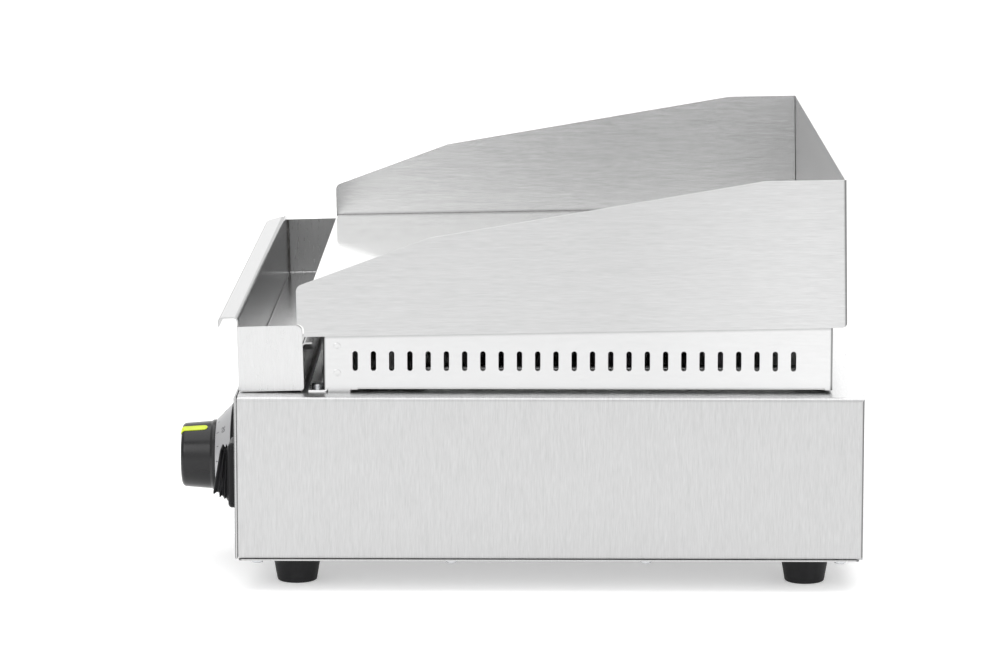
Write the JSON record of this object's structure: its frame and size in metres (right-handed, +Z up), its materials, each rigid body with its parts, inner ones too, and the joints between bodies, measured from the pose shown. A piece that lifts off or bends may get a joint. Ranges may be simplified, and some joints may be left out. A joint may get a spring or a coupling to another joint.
{
  "type": "flat top griddle",
  "caption": "Countertop electric flat top griddle: sloped polished plate with a three sided splash guard, vented surround, pull-out grease tray, dial knob and booted rocker switch.",
  "frame": {"origin": "middle of the outer box at the counter, under the feet", "axes": "+X across the griddle's width to the user's right, +Y from the controls at the front to the rear, +Z up"},
  "size_m": [0.55, 0.4487, 0.2599],
  "materials": {
    "brushed_side": "vertical brushed stainless sheet, satin",
    "brushed_top": "lengthwise brushed stainless sheet, satin",
    "tray_steel": "brushed stainless sheet with welded corners",
    "polished_plate": "polished cooking surface",
    "weld": "ground weld bead",
    "zinc_steel": "zinc plated fastener",
    "heater_sheath": "dull heat darkened tube",
    "copper": "bare copper capillary and bulb",
    "brass": "plain brass",
    "ceramic_white": "unglazed steatite",
    "fibre": "soft ceramic fibre mat",
    "black_rubber": "moulded, matt",
    "black_plastic": "fine moulded satin",
    "dial_grey": "silver grey satin with a printed scale",
    "pointer_green": "bright yellow green",
    "lamp_green": "clear tinted lens",
    "lamp_orange": "clear tinted lens",
    "reset_red": "moulded",
    "wire_brown": "silicone insulation",
    "wire_earth": "green and yellow insulation"
  },
  "bodies": {
    "housing": {"base_shell": "brushed_side", "boot_seat": "black_rubber", "bottom_plate": "brushed_side", "bottom_screws": "zinc_steel", "bulb_strap": "zinc_steel", "clamp_bars": "zinc_steel", "clamp_nuts": "zinc_steel", "dial_ring": "dial_grey", "earth_nuts": "brass", "earth_stud": "brass", "earth_wire": "wire_earth", "element_terminals": "ceramic_white", "foot_nuts": "zinc_steel", "foot_screws": "zinc_steel", "front_apron": "brushed_top", "front_panel": "brushed_side", "gland_body": "black_plastic", "gland_cap": "black_plastic", "gland_nut": "black_plastic", "griddle_plate": "polished_plate", "heat_shield": "brushed_top", "heater_wires": "wire_brown", "heating_lamp": "lamp_orange", "insulation_pad": "fibre", "lamp_bodies": "black_plastic", "lamp_nuts": "black_plastic", "left_element": "heater_sheath", "limiter_body": "ceramic_white", "limiter_bulb": "copper", "limiter_nut": "brass", "plate_studs": "zinc_steel", "power_lamp": "lamp_green", "rear_panel": "brushed_side", "rear_panel_screws": "zinc_steel", "right_element": "heater_sheath", "rubber_feet": "black_rubber", "splash_guard": "brushed_top", "splash_weld": "weld", "strap_nut": "zinc_steel", "supply_wires": "wire_brown", "switch_body": "black_plastic", "switch_frame": "black_plastic", "switch_pin": "zinc_steel", "switch_tabs": "brass", "terminal_block": "ceramic_white", "terminal_screws": "brass", "thermostat_body": "black_plastic", "thermostat_bulb": "copper", "thermostat_screws": "zinc_steel", "top_screws": "zinc_steel", "vent_surround": "brushed_top"},
    "dial_knob": {"knob": "black_plastic", "knob_pointer": "pointer_green", "knob_grub_screw": "zinc_steel", "thermostat_shaft": "zinc_steel"},
    "rocker": {"switch_rocker": "black_plastic", "boot_cap": "black_rubber"},
    "drip_tray": {"tray_pan": "tray_steel", "tray_ends": "tray_steel"},
    "reset": {"reset_button": "reset_red"}
  },
  "joints": [
    {"name": "knob_turn", "type": "hinge", "parent": "housing", "child": "dial_knob", "pos_m": [0.169, -0.2035, 0.068], "axis": [0, 1, 0], "range_deg": [-26, 244]},
    {"name": "rocker_tilt", "type": "hinge", "parent": "housing", "child": "rocker", "pos_m": [0.229, -0.185, 0.068], "axis": [1, 0, 0], "range_deg": [0, 19.4]},
    {"name": "tray_slide", "type": "slide", "parent": "housing", "child": "drip_tray", "axis": [0, -1, 0], "range_m": [0, 0.055]},
    {"name": "reset_press", "type": "slide", "parent": "housing", "child": "reset", "axis": [0, -1, 0], "range_m": [0, 0.002], "stiffness_N_per_m": 300}
  ]
}
